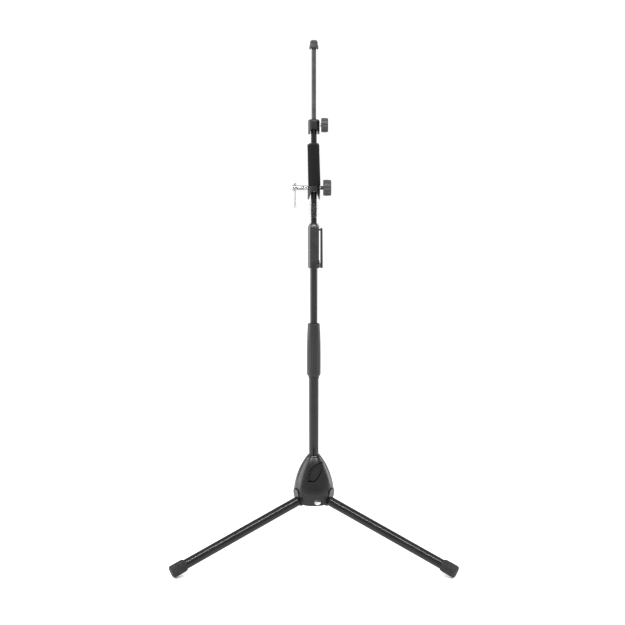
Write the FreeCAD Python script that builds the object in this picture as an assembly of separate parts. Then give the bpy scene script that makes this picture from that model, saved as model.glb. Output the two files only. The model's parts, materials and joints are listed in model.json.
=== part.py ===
"""Instrument stand: folding tripod, telescoping pole, one-hand clutch, instrument clamp and top rod.

Built round the pole's axis with +Z up, in millimetres, then moved so that the origin is the
middle of the footprint on the floor.  The front of the stand faces -Y.
"""
import FreeCAD, Part
import math
import os

V = FreeCAD.Vector
Y_AXIS = V(0, 1, 0)
Z_AXIS = V(0, 0, 1)

# ---------------------------------------------------------------- clearances
RUN = 0.05             # radial clearance of a running fit
TUBE_GAP = 0.3         # radial gap between telescoping tubes away from their guides
FACE_GAP = 0.4         # gap between faces of pieces that move past each other

# ---------------------------------------------------------------- telescoping diameters, from the inside out
ROD_R = 5.0
THIN_WALL = 1.2
MIDDLE_WALL = 1.2
LOWER_GAP = 1.5        # room for the guide bush between middle and lower tube
LOWER_WALL = 1.5

# ---------------------------------------------------------------- legs
LEG_R = 11.0
LEG_WALL = 1.5
LEG_TILT = 19.3        # degrees below horizontal when open
LEG_REACH = 339.0      # hinge to the end of the rubber foot
LEG_PIVOT_R = 32.0     # hinge to the pole's axis
LEG_AZIMUTHS = {"left": 210.0, "right": 330.0, "rear": 90.0}
FOOT_R = 14.0
FOOT_LENGTH = 38.0
FOOT_END_WALL = 7.0
FOOT_ROUND = 1.8
KNUCKLE_HALF = 11.0    # half width of the hinge knuckle
KNUCKLE_EYE_R = 8.6
PIN_R = 3.0
LEG_SCREW_R = 1.6
LEG_SCREW_HEAD = 1.0
LEG_SCREW_TIP = 3.0    # screw's tip below the leg's axis
TUBE_START = 10.5      # hinge to the root end of the leg tube
SPIGOT_LENGTH = 26.0
STOP_LINE = (40.6, 27.0)   # inner top corner of the stop ear: radius, height over the hinge

# ---------------------------------------------------------------- hub
HUB_DROP = 8.3         # hub rim below the leg hinges
HUB_HEIGHT = 106.5
HUB_R = 45.8
HUB_RIM_R = 43.4
HUB_WALL = 2.6
HUB_WIDEST = 27.0      # height of the widest line over the rim
HUB_COLLAR = 2.8       # hub mouth beyond the lower tube
HUB_DISH = 2.0         # depth of the dished mouth
HUB_GROOVE = (3.0, 1.5)   # groove round the mouth: depth of its foot below the top, height
HUB_GROOVE_DEEP = 1.1
HUB_SLOT_SIDE = 26.0   # straight side of each leg slot, up from the rim
SLOT_ARCH = 10.0       # extra height of the slot's arched top
WINDOW_R = 7.2         # round window low in the front
WINDOW_X = 8.4
WINDOW_UP = 9.0
CHEEK = 3.2            # thickness of each hinge cheek
CORE_WALL = 3.4
CORE_UP = 50.0
CORE_FOOT = 2.6
CHEEK_TOP = 28.0
HUB_BOLT_R = 4.0

# ---------------------------------------------------------------- release lever, outline in front view over the hub rim
LEVER_TIP = (19.6, 92.0)
LEVER_UPPER_MID = (-5.6, 80.5)
LEVER_HEEL = (-13.0, 57.5)
LEVER_TOE = (1.0, 57.2)
LEVER_LOWER_MID = (13.2, 71.5)
LEVER_GAP = 0.6
LEVER_THICK = 2.4
LEVER_LIP = 1.9
LEVER_LIP_WIDE = 2.0
LEVER_PIN_R = 1.5
LEVER_PIN_Y = -16.4
LEVER_PIN_UP = 84.0
LEVER_BOSS_R = 2.9
LEVER_BOSS = (-2.0, 9.0)
LEVER_PIN_HELD = 5.0   # pin length held in each bar
LUG = 2.4              # half thickness of those bars
LEVER_DROP = 2.2       # extra opening below the lever, where its toe swings
LEVER_RISE = 0.9       # extra opening above its tip, which swings up and out

# ---------------------------------------------------------------- heights along the pole, each over the piece below
LOWER_FOOT_UP = 9.0    # lower tube's end over the hub rim
LOWER_SHOW = 180.5     # hub mouth to clutch sleeve
TWIST_LENGTH = 117.0
MIDDLE_SHOW = 122.0
GRIP_RING = 13.2
GRIP_LENGTH = 76.6
CONE_HEIGHT = 8.8
CONE_TO_STOP = 13.0
STOP_LENGTH = 31.6
STOP_TO_CLAMP = 7.4
CLAMP_HEIGHT = 29.0
FOAM_LENGTH = 88.6
FOAM_TO_COLLAR = 21.2
COLLAR_HEIGHT = 31.8
ROD_SHOW = 146.4
CAP_HEIGHT = 19.6

# ---------------------------------------------------------------- twist clutch
TWIST_TOP_R = 13.2
TWIST_WALL = 2.0
TWIST_ROUND = 3.0      # rounded foot of the sleeve
TWIST_LIP = 4.5        # inward lip at its foot
TWIST_FLUTES = 18
TWIST_FLUTE_R = 1.2
BUSHING_WALL = 2.4
BUSHING_DEPTH = 28.0   # lower tube's overlap inside the bushing
BUSHING_NECK = 20.0
COLLET_LENGTH = 20.0
COLLET_WALL = 2.8
SEAT_RING = 4.6
SEAT_RING_WALL = 1.0
MIDDLE_REACH = 134.0   # middle tube hidden below the bushing's tube seat
GUIDE_LENGTH = 24.0

# ---------------------------------------------------------------- one-hand grip
GRIP_WALL = 4.65
GRIP_CHAMBER = 2.6
CONE_LIP = 1.2
MIDDLE_IN_GRIP = 24.0
SQUEEZE_WIDE = 11.0
SQUEEZE_THICK = 5.4
SQUEEZE_GAP = 1.5
SQUEEZE_POCKET = 3.9
SQUEEZE_YOKE = 3.0
SQUEEZE_HUB_R = 7.0
TRUNNION_R = 2.2
TRUNNION_HEAD_R = 4.2
TRUNNION_HEAD = 1.6
TRUNNION_UP = 7.0
PLATE_THICK = 3.0
PLATE_UP = 67.0
PLATE_TILT = 3.0
CHAMBER_LID = 2.6      # top wall of the clutch chamber
LEVER_SHORT = 1.2      # squeeze lever's end below the cone
NOSE_WIDE = 6.0
NOSE_TOP = 6.0
NOSE_RAMP = (0.55, -0.35)   # ramp's outer and inner height over a level plate
SPRING_WIRE_R = 0.8
SPRING_TURNS = 5
THIN_FOOT_BELOW = 243.0   # thin tube hidden below the grip's foot

# ---------------------------------------------------------------- stop sleeve, clamp, foam, collar
STOP_R = 10.8
STOP_WALL = 1.0
STOP_WEB = 1.2
CLAMP_R = 13.4
CLAMP_RING = 12.6      # solid upper band of the clamp
CLAMP_SKIRT = 2.2
CLAMP_ARCH = (6.8, 10.6)    # half width of its arch at the spring and at the foot
LINER_WALL = 1.3
SCREW_DROP = 4.4       # screw axis below the top of the clamp
STUD_R = 2.5
PAD_R = 3.4
PAD_THICK = 1.2
PAD_TRAVEL = 1.6       # two turns of the stud's thread
CLAMP_KNOB_R = 17.8
CLAMP_KNOB_LENGTH = 17.4
CLAMP_KNOB_OUT = 20.1
CLAMP_NECK_R = 4.2
CLAMP_NECK_START = 13.9
CLAMP_SCREW_R = 4.9
CLAMP_SCREW_END = 35.0
SCREW_HEAD_R = 6.0
SCREW_HEAD = 12.0
TOMMY_R = 1.75
TOMMY_BALL_R = 3.2
TOMMY_LENGTH = 51.0
FOAM_TOP_WALL = 6.2
FOAM_FOOT_WALL = 6.6
FOAM_RING = 2.4
FOAM_RING_WALL = 3.6
COLLAR_R = 12.3
COLLAR_SKIRT = 2.0
COLLAR_SOLID = 21.0
COLLAR_ARCH = (7.0, 7.6)
COLLAR_ROUND = 5.0
COLLAR_TUBE_DEPTH = 4.0
ROD_SCREW_DROP = 12.6
ROD_KNOB_R = 16.0
ROD_KNOB_LENGTH = 15.0
ROD_KNOB_OUT = 15.6
KNOB_FLUTES = 16
KNOB_FLUTE_R = 1.5
KNOB_DISH = 1.2
CAP_DOME_R = 8.2
CAP_RING_R = 9.7
CAP_RING = 8.0
CAP_GRIP = 13.0
CAP_RECESS = 1.4
CAP_ARCH_R = 6.2
CAP_ARCH_DROP = 2.0
ROD_HIDDEN = 165.0     # rod below the top of its collar
ROD_GUIDE = 14.0

# ---------------------------------------------------------------- derived sizes
tilt = math.radians(LEG_TILT)
thin_bore = ROD_R + TUBE_GAP
thin_r = thin_bore + THIN_WALL
middle_bore = thin_r + TUBE_GAP
middle_r = middle_bore + MIDDLE_WALL
lower_bore = middle_r + LOWER_GAP
lower_r = lower_bore + LOWER_WALL
leg_bore = LEG_R - LEG_WALL
pivot_z = LEG_REACH * math.sin(tilt) + FOOT_R * math.cos(tilt)
hub_z = pivot_z - HUB_DROP
hub_top = hub_z + HUB_HEIGHT
hub_mouth_r = lower_r + HUB_COLLAR
core_r = lower_r + CORE_WALL
core_z = hub_z + CORE_FOOT
slot_half = KNUCKLE_HALF + 1.5
lower_foot = hub_z + LOWER_FOOT_UP
twist_z = hub_top + LOWER_SHOW
twist_top = twist_z + TWIST_LENGTH
bushing_r = lower_r + BUSHING_WALL
twist_bore = bushing_r + RUN
twist_r = twist_bore + TWIST_WALL
lower_top = twist_z + TWIST_LENGTH * 0.43
bushing_top = lower_top + BUSHING_NECK
middle_foot = lower_top - BUSHING_DEPTH - MIDDLE_REACH - GUIDE_LENGTH
grip_z = twist_top + MIDDLE_SHOW
grip_r = middle_r + GRIP_WALL
body_z = grip_z + GRIP_RING
cone_z = body_z + GRIP_LENGTH
cone_top = cone_z + CONE_HEIGHT
middle_top = body_z + MIDDLE_IN_GRIP
trunnion_z = grip_z + TRUNNION_UP
thin_foot = grip_z - THIN_FOOT_BELOW
stop_z = cone_top + CONE_TO_STOP
stop_top = stop_z + STOP_LENGTH
clamp_z = stop_top + STOP_TO_CLAMP
clamp_top = clamp_z + CLAMP_HEIGHT
screw_z = clamp_top - SCREW_DROP
liner_r = thin_r + RUN + LINER_WALL
foam_z = clamp_top + FACE_GAP
foam_top = foam_z + FOAM_LENGTH
collar_z = foam_top + FOAM_TO_COLLAR
collar_top = collar_z + COLLAR_HEIGHT
rod_screw_z = collar_top - ROD_SCREW_DROP
collar_step = collar_top - COLLAR_TUBE_DEPTH
cap_z = collar_top + ROD_SHOW
cap_top = cap_z + CAP_HEIGHT
rod_foot = collar_top - ROD_HIDDEN


# ---------------------------------------------------------------- shape helpers
def cylinder(radius, start, end):
    """Solid cylinder between two points."""
    along = end - start
    return Part.makeCylinder(radius, along.Length, start, along)


def post(radius, low, high):
    """Solid cylinder on the pole's axis between two heights."""
    return Part.makeCylinder(radius, high - low, V(0, 0, low))


def pipe(outer, inner, low, high):
    """Hollow cylinder on the pole's axis."""
    return post(outer, low, high).cut(post(inner, low - 1, high + 1))


def box(low, high):
    """Axis-aligned box between two corners."""
    size = high - low
    return Part.makeBox(size.x, size.y, size.z, low)


def outline(start, *steps):
    """Closed wire from 3-D points; a step is an end point, or a (middle, end) pair for an arc."""
    edges = []
    here = start
    for step in steps:
        if isinstance(step, tuple):
            middle, there = step
            edges.append(Part.Arc(here, middle, there).toShape())
        else:
            there = step
            edges.append(Part.LineSegment(here, there).toShape())
        here = there
    if (here - start).Length > 1e-6:
        edges.append(Part.LineSegment(here, start).toShape())
    return Part.Wire(edges)


def rz(radius, height):
    """Point of a turned profile."""
    return V(radius, 0, height)


def turned(start, *steps):
    """Solid of revolution about the pole's axis from a profile of radius and height."""
    return Part.Face(outline(start, *steps)).revolve(V(0, 0, 0), Z_AXIS, 360)


def join(first, *others):
    """One solid from touching solids."""
    return first.fuse(list(others)).removeSplitter()


def group(solids):
    """Separate solids kept in one node."""
    return Part.makeCompound(solids)


def turned_to(shape, azimuth):
    """Copy of a shape turned about the pole's axis."""
    copy = shape.copy()
    copy.rotate(V(0, 0, 0), Z_AXIS, azimuth)
    return copy


def along_x(shape, height):
    """Copy of a shape built on Z, laid along +X at a height on the pole."""
    copy = shape.copy()
    copy.rotate(V(0, 0, 0), Y_AXIS, 90)
    copy.translate(V(0, 0, height))
    return copy


def round_about(shape, count, radius_to_centre, cutter_radius, low, high):
    """Shape with evenly spaced round grooves cut along Z."""
    cutters = []
    for index in range(count):
        angle = 2 * math.pi * index / count
        centre = V(radius_to_centre * math.cos(angle), radius_to_centre * math.sin(angle), low)
        cutters.append(Part.makeCylinder(cutter_radius, high - low, centre))
    return shape.cut(cutters)


# ---------------------------------------------------------------- legs, built in the plane of radius and height
def leg_point(distance, across=0.0):
    """Point on the leg's axis at a distance from the hinge, moved across it upward."""
    return V(
        LEG_PIVOT_R + distance * math.cos(tilt) + across * math.sin(tilt),
        0,
        pivot_z - distance * math.sin(tilt) + across * math.cos(tilt),
    )


def on_leg(shape):
    """Copy of a shape built on Z, laid along the leg from its hinge."""
    copy = shape.copy()
    copy.rotate(V(0, 0, 0), Y_AXIS, 90 + LEG_TILT)
    copy.translate(V(LEG_PIVOT_R, 0, pivot_z))
    return copy


def leg_tube():
    """Steel tube with a screw hole in the underside of its root."""
    tube_end = LEG_REACH - FOOT_END_WALL
    tube = pipe(LEG_R, leg_bore, TUBE_START, tube_end)
    return on_leg(tube).cut(screw_hole())


def screw_line(start, end):
    """Two points on the leg screw's axis, measured up from the leg's axis."""
    along = TUBE_START + SPIGOT_LENGTH / 2
    return leg_point(along, start), leg_point(along, end)


def screw_hole():
    """Hole through the tube's underside into the knuckle's spigot."""
    return cylinder(LEG_SCREW_R, *screw_line(-LEG_R - 1, -LEG_SCREW_TIP))


def leg_screw():
    """Screw from below that holds the tube on the knuckle, its head just proud of the tube."""
    shank = cylinder(LEG_SCREW_R, *screw_line(-LEG_R - LEG_SCREW_HEAD / 2, -LEG_SCREW_TIP))
    head = cylinder(LEG_SCREW_R * 1.8, *screw_line(-LEG_R - LEG_SCREW_HEAD, -LEG_R * 0.8))
    head = head.cut(on_leg(post(LEG_R, TUBE_START, LEG_REACH / 2)))
    return join(shank, head)


def knuckle():
    """Moulded root: hinge eye, stop ear above it and a spigot inside the tube."""
    ear_r, ear_up = STOP_LINE
    ear_z = pivot_z + ear_up
    face_top = leg_point(TUBE_START, LEG_R)
    face_foot = leg_point(TUBE_START, -LEG_R)
    side = V(0, -KNUCKLE_HALF, 0)
    profile = outline(
        V(LEG_PIVOT_R + 1, 0, pivot_z - KNUCKLE_EYE_R) + side,
        (V(LEG_PIVOT_R - KNUCKLE_EYE_R, 0, pivot_z) + side, V(LEG_PIVOT_R + 1, 0, pivot_z + KNUCKLE_EYE_R) + side),
        V(ear_r, 0, ear_z - 6) + side,
        (V(ear_r + 3, 0, ear_z - 1) + side, V(ear_r + 7.6, 0, ear_z - 2.5) + side),
        face_top + side,
        face_foot + side,
    )
    block = Part.Face(profile).extrude(V(0, 2 * KNUCKLE_HALF, 0))
    arch = turned_prism(KNUCKLE_HALF, ear_z, SLOT_ARCH)
    block = block.common(arch)
    spigot = on_leg(post(leg_bore, TUBE_START - 2, TUBE_START + SPIGOT_LENGTH))
    body = join(block, spigot)
    reach = V(0, KNUCKLE_HALF + 1, 0)
    pivot = V(LEG_PIVOT_R, 0, pivot_z)
    body = body.cut(cylinder(PIN_R + RUN, pivot - reach, pivot + reach))
    return body.cut(screw_hole())


def turned_prism(half, top, arch):
    """Door-shaped prism along the radius: straight sides and an arched top, as wide as a slot."""
    low = pivot_z - 40
    far = HUB_R + 40
    frame = outline(
        V(0, -half, low),
        V(0, half, low),
        V(0, half, top - arch),
        (V(0, 0, top), V(0, -half, top - arch)),
    )
    return Part.Face(frame).extrude(V(far, 0, 0))


def foot():
    """Rubber cap: bulged sides, rounded flat end and a socket for the tube."""
    start = LEG_REACH - FOOT_LENGTH
    end = LEG_REACH
    cap = turned(
        rz(0, start),
        rz(FOOT_R - 1.6, start),
        (rz(FOOT_R - 0.5, start + 0.5), rz(FOOT_R - 0.3, start + 1.6)),
        (rz(FOOT_R, start + FOOT_LENGTH / 2), rz(FOOT_R - 0.3, end - FOOT_ROUND)),
        (rz(FOOT_R - 0.3 - FOOT_ROUND * 0.29, end - FOOT_ROUND * 0.29), rz(FOOT_R - 0.3 - FOOT_ROUND, end)),
        rz(0, end),
    )
    socket = post(LEG_R, start - 1, end - FOOT_END_WALL)
    return on_leg(cap.cut(socket))


def leg_pin():
    """Hinge pin, held in both cheeks of the hub carrier."""
    pivot = V(LEG_PIVOT_R, 0, pivot_z)
    reach = V(0, KNUCKLE_HALF + FACE_GAP + CHEEK, 0)
    return cylinder(PIN_R, pivot - reach, pivot + reach)


# ---------------------------------------------------------------- hub
def hub_form(offset):
    """Solid bullet shape of the hub, grown by an offset."""
    widest = hub_z + HUB_WIDEST
    crown = hub_z + HUB_HEIGHT * 0.62
    crown_r = hub_mouth_r + (HUB_R - hub_mouth_r) * 0.71
    return turned(
        rz(0, hub_z - 1),
        rz(HUB_RIM_R + offset, hub_z - 1),
        rz(HUB_RIM_R + offset, hub_z),
        (rz(HUB_RIM_R + offset + (HUB_R - HUB_RIM_R) * 0.75, hub_z + HUB_WIDEST * 0.5), rz(HUB_R + offset, widest)),
        (rz(crown_r + offset, crown + offset * 0.4), rz(hub_mouth_r + offset, hub_top + max(offset, 0))),
        rz(0, hub_top + max(offset, 0)),
    )


def lever_face():
    """Leaf outline of the release lever in front view."""
    front = -HUB_R - 5
    return Part.Face(outline(
        V(LEVER_TIP[0], front, hub_z + LEVER_TIP[1]),
        (V(LEVER_UPPER_MID[0], front, hub_z + LEVER_UPPER_MID[1]), V(LEVER_HEEL[0], front, hub_z + LEVER_HEEL[1])),
        V(LEVER_TOE[0], front, hub_z + LEVER_TOE[1]),
        (V(LEVER_LOWER_MID[0], front, hub_z + LEVER_LOWER_MID[1]), V(LEVER_TIP[0], front, hub_z + LEVER_TIP[1])),
    ))


def hub_housing():
    """Moulded shell with three leg slots, a lever opening, a round window and pin lugs."""
    shell = hub_form(0).cut(hub_form(-HUB_WALL)).cut(post(HUB_R * 2, hub_z - 5, hub_z))
    crown_fill = pipe(hub_mouth_r, lower_r, hub_top - 12, hub_top)
    shell = join(shell, crown_fill)
    slot = turned_prism(slot_half, hub_z + HUB_SLOT_SIDE + SLOT_ARCH, SLOT_ARCH)
    slots = [turned_to(slot, azimuth) for azimuth in LEG_AZIMUTHS.values()]
    shell = shell.cut(slots)
    opening = lever_opening()
    dropped = opening.copy()
    dropped.translate(V(0, 0, -LEVER_DROP))
    raised = opening.copy()
    raised.translate(V(0, 0, LEVER_RISE))
    shell = shell.cut([opening, dropped, raised])
    window_z = hub_z + WINDOW_UP
    shell = shell.cut(cylinder(WINDOW_R, V(WINDOW_X, -HUB_R - 5, window_z), V(WINDOW_X, -HUB_R / 2, window_z)))
    shell = shell.cut(post(lower_r, hub_z, hub_top + 1))
    dish = Part.makeCone(lower_r, hub_mouth_r - 0.8, HUB_DISH, V(0, 0, hub_top - HUB_DISH + 0.01))
    groove_low = hub_top - HUB_GROOVE[0]
    groove = pipe(hub_mouth_r + 3, hub_mouth_r - HUB_GROOVE_DEEP, groove_low, groove_low + HUB_GROOVE[1])
    return join(shell.cut(dish).cut(groove), *lever_lugs())


def lever_lugs():
    """Bars from both sides of the shell that hold the lever's pin."""
    low, high = LEVER_BOSS
    pin_z = hub_z + LEVER_PIN_UP
    behind_lever = hub_form(0).cut(hub_form(-LEVER_THICK - 3 * LEVER_GAP)).common(lever_opening())
    bars = []
    for start, end in ((-HUB_R, low - FACE_GAP), (high + FACE_GAP, HUB_R)):
        bar = box(V(start, LEVER_PIN_Y - LUG, pin_z - LUG), V(end, LEVER_PIN_Y + 1.5 * LUG, pin_z + LUG))
        bar = bar.common(hub_form(-HUB_WALL / 2)).cut(behind_lever)
        bars.append(bar.cut(lever_pin_rod(LEVER_PIN_R)))
    return bars


def lever_opening():
    """Prism of the lever's outline grown by its gap, cut right through the front."""
    return lever_face().makeOffset2D(LEVER_GAP).extrude(V(0, HUB_R, 0))


def lever_pin_rod(radius):
    """Rod along the lever's pivot."""
    low, high = LEVER_BOSS
    pin_z = hub_z + LEVER_PIN_UP
    reach = FACE_GAP + LEVER_PIN_HELD
    return cylinder(radius, V(low - reach, LEVER_PIN_Y, pin_z), V(high + reach, LEVER_PIN_Y, pin_z))


def release_lever():
    """Leaf-shaped thumb lever flush with the hub, with a raised lip and a pivot boss behind it."""
    face = lever_face()
    blade = hub_form(-0.2).cut(hub_form(-0.2 - LEVER_THICK)).common(face.extrude(V(0, HUB_R, 0)))
    blade = largest(blade)
    inner = face.copy()
    inner.translate(V(LEVER_LIP_WIDE, 0, -LEVER_LIP_WIDE / 3))
    lip = hub_form(LEVER_LIP).cut(hub_form(-1)).common(face.cut(inner).extrude(V(0, HUB_R, 0)))
    lip = largest(lip)
    low, high = LEVER_BOSS
    pin_z = hub_z + LEVER_PIN_UP
    boss = cylinder(LEVER_BOSS_R, V(low, LEVER_PIN_Y, pin_z), V(high, LEVER_PIN_Y, pin_z))
    web = box(V(low, -HUB_R, pin_z - 2), V(high, LEVER_PIN_Y, pin_z + 2))
    web = web.common(hub_form(-1)).common(face.extrude(V(0, HUB_R, 0)))
    lever = join(blade, lip, boss, web)
    return lever.cut(cylinder(LEVER_PIN_R + RUN, V(low - 1, LEVER_PIN_Y, pin_z), V(high + 1, LEVER_PIN_Y, pin_z)))


def largest(shape):
    """The biggest solid of a cut."""
    return max(shape.Solids, key=lambda solid: solid.Volume)


def hub_carrier():
    """Die-cast insert: pole socket with a floor, and two hinge cheeks for each leg."""
    socket_top = hub_z + CORE_UP
    core = post(core_r, core_z, socket_top)
    inner = KNUCKLE_HALF + FACE_GAP
    cheeks = []
    for azimuth in LEG_AZIMUTHS.values():
        for start in (inner, -inner - CHEEK):
            plate = box(V(0, start, core_z), V(HUB_R, start + CHEEK, hub_z + CHEEK_TOP))
            cheeks.append(turned_to(plate, azimuth))
    body = core.fuse(cheeks).common(hub_form(-HUB_WALL)).removeSplitter()
    relief = []
    for azimuth in LEG_AZIMUTHS.values():
        space = box(V(LEG_PIVOT_R - KNUCKLE_EYE_R - 1, -inner, core_z - 1), V(HUB_R + 1, inner, socket_top + 1))
        relief.append(turned_to(space, azimuth))
        pivot = V(LEG_PIVOT_R, 0, pivot_z)
        reach = V(0, inner + CHEEK + 1, 0)
        relief.append(turned_to(cylinder(PIN_R, pivot - reach, pivot + reach), azimuth))
    body = body.cut(relief)
    body = body.cut(post(lower_r, lower_foot, socket_top + 1))
    return body.cut(post(HUB_BOLT_R, core_z - 1, lower_foot + 1))


def tube_foot_plug():
    """Threaded plug in the foot of the lower tube."""
    plug = post(lower_bore, lower_foot, lower_foot + 14)
    return plug.cut(post(HUB_BOLT_R, lower_foot - 1, lower_foot + 15))


def hub_bolt():
    """Bolt from below that pulls the lower tube into its socket."""
    head = post(HUB_BOLT_R * 1.7, core_z - 1.8, core_z)
    return join(head, post(HUB_BOLT_R, core_z, lower_foot + 12))


# ---------------------------------------------------------------- pole
def lower_tube():
    """Outer pole tube with a key slot at the front of its foot, just over the hub mouth."""
    tube = pipe(lower_r, lower_bore, lower_foot, lower_top)
    slot = box(V(-1.1, -lower_r - 1, hub_top - 6), V(1.1, -lower_bore + 0.6, hub_top + 20))
    return tube.cut(slot)


def seat_ring():
    """Thin ring on the lower tube under the clutch sleeve."""
    return pipe(lower_r + SEAT_RING_WALL, lower_r, twist_z - SEAT_RING - FACE_GAP, twist_z - FACE_GAP)


def clutch_bushing():
    """Bushing fixed over the lower tube's top; the middle tube runs in its neck."""
    outer = post(bushing_r, lower_top - BUSHING_DEPTH, bushing_top)
    seat = post(lower_r, lower_top - BUSHING_DEPTH - 1, lower_top)
    return outer.cut(seat).cut(post(middle_r + RUN, lower_top - 1, bushing_top + 1))


def clutch_collet():
    """Split collet squeezed round the middle tube by the sleeve's cone."""
    low = bushing_top + FACE_GAP
    outer_r = middle_r + COLLET_WALL
    collet = turned(
        rz(middle_r + RUN, low),
        rz(outer_r, low),
        rz(outer_r, low + COLLET_LENGTH * 0.45),
        rz(middle_r + 1.2, low + COLLET_LENGTH),
        rz(middle_r + RUN, low + COLLET_LENGTH),
    )
    return collet.cut(box(V(0, -0.8, low - 1), V(outer_r + 1, 0.8, low + COLLET_LENGTH + 1)))


def twist_clutch():
    """Fluted twist sleeve: slim at the top, fuller lower down, rounded at the foot."""
    cone_low = bushing_top + FACE_GAP + COLLET_LENGTH * 0.45
    cone_high = bushing_top + FACE_GAP + COLLET_LENGTH
    clear = FACE_GAP + 0.1
    lip_r = lower_r + TUBE_GAP
    sleeve = turned(
        rz(lip_r, twist_z),
        rz(twist_r - TWIST_ROUND, twist_z),
        (rz(twist_r - TWIST_ROUND * 0.29, twist_z + TWIST_ROUND * 0.4), rz(twist_r, twist_z + TWIST_ROUND * 1.5)),
        rz(twist_r, twist_z + TWIST_LENGTH * 0.3),
        (rz((twist_r + TWIST_TOP_R) / 2 + 0.45, twist_z + TWIST_LENGTH * 0.68), rz(TWIST_TOP_R, twist_top - 1.5)),
        (rz(TWIST_TOP_R - 0.4, twist_top - 0.4), rz(TWIST_TOP_R - 1.5, twist_top)),
        rz(middle_r + TUBE_GAP, twist_top),
        rz(middle_r + TUBE_GAP, cone_high + 2),
        rz(middle_r + 1.2 + clear, cone_high + 2),
        rz(middle_r + 1.2 + clear, cone_high),
        rz(middle_r + COLLET_WALL + clear, cone_low),
        rz(middle_r + COLLET_WALL + clear, bushing_top + FACE_GAP),
        rz(twist_bore, bushing_top + FACE_GAP),
        rz(twist_bore, twist_z + TWIST_LIP),
        rz(lip_r, twist_z + TWIST_LIP),
    )
    low = twist_z + 7
    high = twist_z + TWIST_LENGTH * 0.62
    return round_about(sleeve, TWIST_FLUTES, twist_r + TWIST_FLUTE_R * 0.55, TWIST_FLUTE_R, low, high)


def middle_tube():
    """Inner pole tube, from its guide bush up into the one-hand grip."""
    return pipe(middle_r, middle_bore, middle_foot, middle_top)


def middle_guide():
    """Plastic bush on the middle tube's foot, running in the lower tube."""
    low = middle_foot
    return pipe(lower_bore - RUN, middle_r, low, low + GUIDE_LENGTH)


# ---------------------------------------------------------------- one-hand grip
def chamber_low():
    """Floor of the clutch chamber inside the grip."""
    return middle_top + 4


def grip_body():
    """Round grip with a clutch chamber, a pocket for the squeeze lever and a rounded foot."""
    shell = turned(
        rz(middle_r, grip_z),
        rz(grip_r - 3.0, grip_z),
        (rz(grip_r - 0.9, grip_z + 1.2), rz(grip_r, grip_z + 4.5)),
        rz(grip_r, cone_z),
        rz(thin_r + RUN, cone_z),
        rz(thin_r + RUN, cone_z - CHAMBER_LID),
        rz(grip_r - GRIP_CHAMBER, cone_z - CHAMBER_LID),
        rz(grip_r - GRIP_CHAMBER, chamber_low()),
        rz(thin_r + TUBE_GAP, chamber_low()),
        rz(thin_r + TUBE_GAP, middle_top),
        rz(middle_r, middle_top),
    )
    half = SQUEEZE_WIDE / 2 + FACE_GAP
    pocket = box(V(grip_r - SQUEEZE_POCKET, -half, body_z + 4), V(grip_r + 1, half, cone_z + 1))
    groove = pipe(grip_r + 1, grip_r - 0.5, body_z - 0.6, body_z + 0.2)
    body = shell.cut(pocket).cut(groove)
    for side in (-1, 1):
        start = V(0, side * middle_r, trunnion_z)
        body = body.cut(cylinder(TRUNNION_R, start, V(0, side * (grip_r + 1), trunnion_z)))
    return body


def grip_cone():
    """Tapered cap that guides the thin tube at the top of the grip."""
    return turned(
        rz(thin_r + RUN, cone_z),
        rz(grip_r, cone_z),
        (rz((grip_r + thin_r + CONE_LIP) / 2 + 0.6, cone_z + CONE_HEIGHT * 0.5), rz(thin_r + CONE_LIP, cone_top)),
        rz(thin_r + RUN, cone_top),
    )


def squeeze_lever():
    """Flat lever beside the grip, carried by a yoke round its foot on two trunnion screws."""
    inner_x = grip_r + SQUEEZE_GAP
    half = SQUEEZE_WIDE / 2
    lever_top = cone_z - LEVER_SHORT
    bar_profile = outline(
        V(inner_x, -half, grip_z + 1.5),
        V(inner_x + SQUEEZE_THICK, -half, grip_z + 1.5),
        V(inner_x + SQUEEZE_THICK - 0.7, -half, lever_top - 1.2),
        (V(inner_x + SQUEEZE_THICK / 2, -half, lever_top), V(inner_x, -half, lever_top - 1.2)),
    )
    bar = Part.Face(bar_profile).extrude(V(0, SQUEEZE_WIDE, 0))
    yoke_in = grip_r + FACE_GAP
    yoke_out = yoke_in + SQUEEZE_YOKE
    band = pipe(yoke_out, yoke_in, trunnion_z - 4.2, trunnion_z + 4.2)
    band = band.common(box(V(0, -yoke_out, grip_z - 5), V(yoke_out, yoke_out, body_z + 5)))
    eyes = []
    for side in (-1, 1):
        near = V(0, side * yoke_in * 0.985, trunnion_z)
        eyes.append(cylinder(SQUEEZE_HUB_R, near, V(0, side * yoke_out, trunnion_z)))
    bridge = box(V(yoke_in * 0.96, -half, trunnion_z - 4.2), V(inner_x + 1, half, trunnion_z + 4.2))
    lever = join(bar, band, bridge, *eyes)
    lever = lever.cut(post(yoke_in, grip_z - 5, cone_top))
    lever = join(lever, lever_nose(inner_x))
    for side in (-1, 1):
        hole = cylinder(TRUNNION_R + RUN, V(0, 0, trunnion_z), V(0, side * (yoke_out + 1), trunnion_z))
        lever = lever.cut(hole)
    return lever


def lever_nose(inner_x):
    """Wedge on the squeeze lever that presses the clutch plate's raised edge down."""
    plate_z = body_z + PLATE_UP
    tip_x = plate_r() + FACE_GAP
    half = NOSE_WIDE / 2
    profile = outline(
        V(inner_x + 1, -half, plate_z + NOSE_TOP),
        V(tip_x + 0.5, -half, plate_z + NOSE_TOP),
        V(tip_x, -half, plate_z + PLATE_THICK + NOSE_RAMP[0]),
        V(tip_x + 3, -half, plate_z + PLATE_THICK + NOSE_RAMP[1]),
        V(inner_x + 1, -half, plate_z + PLATE_THICK + NOSE_RAMP[1]),
    )
    return Part.Face(profile).extrude(V(0, NOSE_WIDE, 0))


def plate_r():
    """Outer radius of the clutch plate, clear of its chamber."""
    return grip_r - GRIP_CHAMBER - 0.7


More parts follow.
